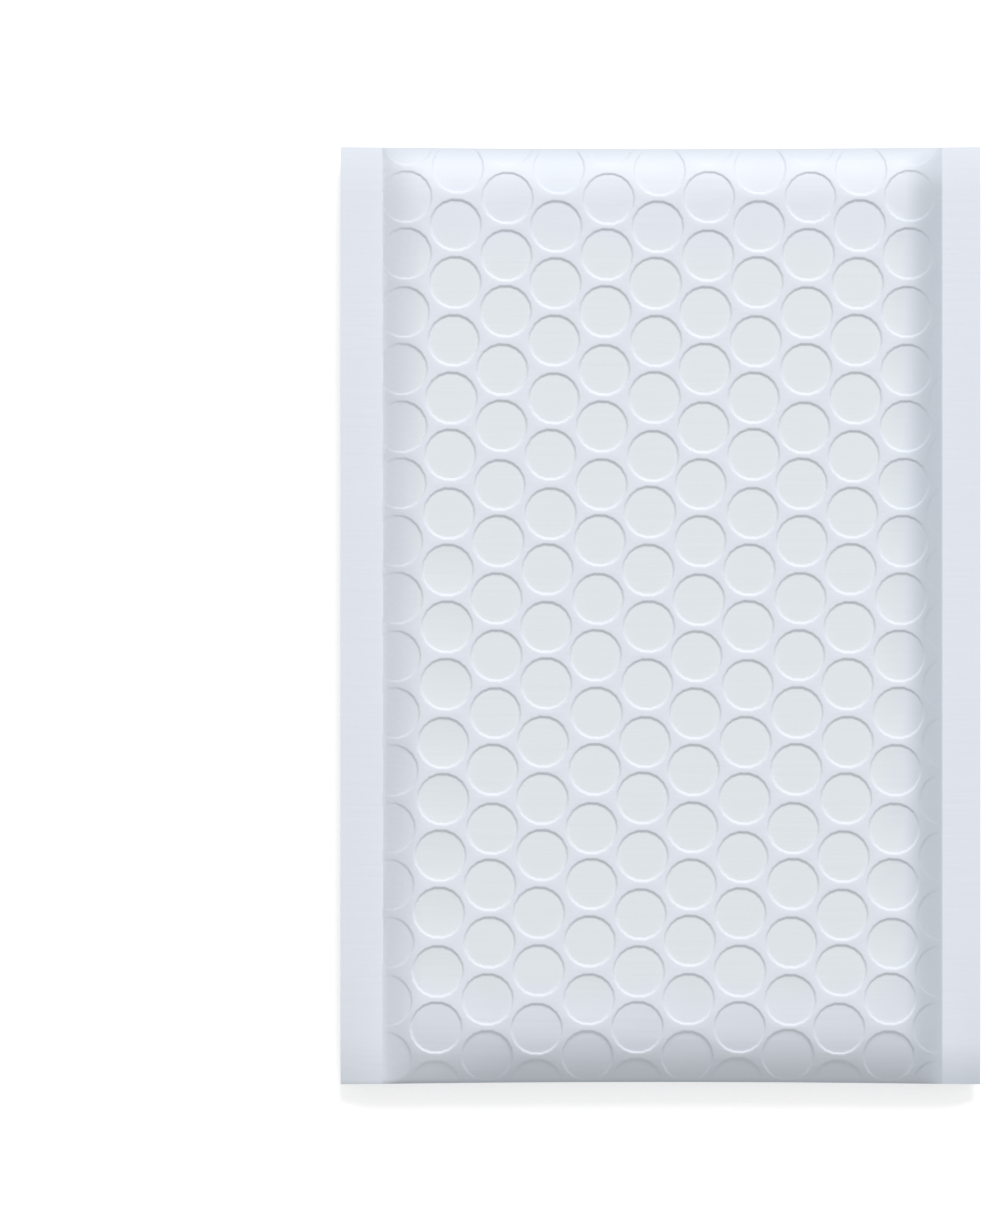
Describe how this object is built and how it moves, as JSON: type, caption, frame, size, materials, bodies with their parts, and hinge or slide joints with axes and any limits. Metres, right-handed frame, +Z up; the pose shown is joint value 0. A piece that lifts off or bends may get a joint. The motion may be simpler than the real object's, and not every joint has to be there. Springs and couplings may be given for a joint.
{
  "type": "padded envelope",
  "caption": "Padded mailing envelope of bubble-lined white plastic film, with welded side seals and a plain closure flap folded over its back.",
  "frame": {"origin": "centre of the base of the bounding box, on the surface that the mailer lies on", "axes": "+X across the mailer, +Y along it towards the fold of the flap, +Z up, out of its front face; it lies on its back"},
  "size_m": [0.126, 0.1846, 0.012],
  "materials": {
    "pearl_film": "satin pearl-white co-extruded film, softly shining",
    "adhesive": "clear hot-melt adhesive",
    "release_film": "smooth white release film"
  },
  "bodies": {
    "root": {"mailer_body": "pearl_film", "adhesive_strip": "adhesive", "release_liner": "release_film"}
  },
  "joints": []
}
